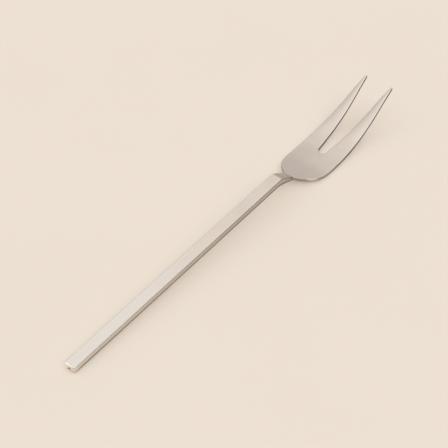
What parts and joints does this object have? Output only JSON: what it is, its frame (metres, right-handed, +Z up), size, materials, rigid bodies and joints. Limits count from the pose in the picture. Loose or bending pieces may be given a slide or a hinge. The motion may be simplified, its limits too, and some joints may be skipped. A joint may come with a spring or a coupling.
{
  "type": "serving fork",
  "caption": "Serving fork forged in one piece: a long flat-sided bar, a cranked neck and a broad flat blade split into curved tines.",
  "frame": {"origin": "centre of the rectangle that the resting fork covers, at the height of the surface it lies on", "axes": "+X from the bar's free end to the tips, +Y across the blade, +Z up"},
  "size_m": [0.2402, 0.0248, 0.0174],
  "materials": {
    "steel": "fine satin, brushed along the length"
  },
  "bodies": {
    "root": {"serving_fork": "steel"}
  },
  "joints": []
}
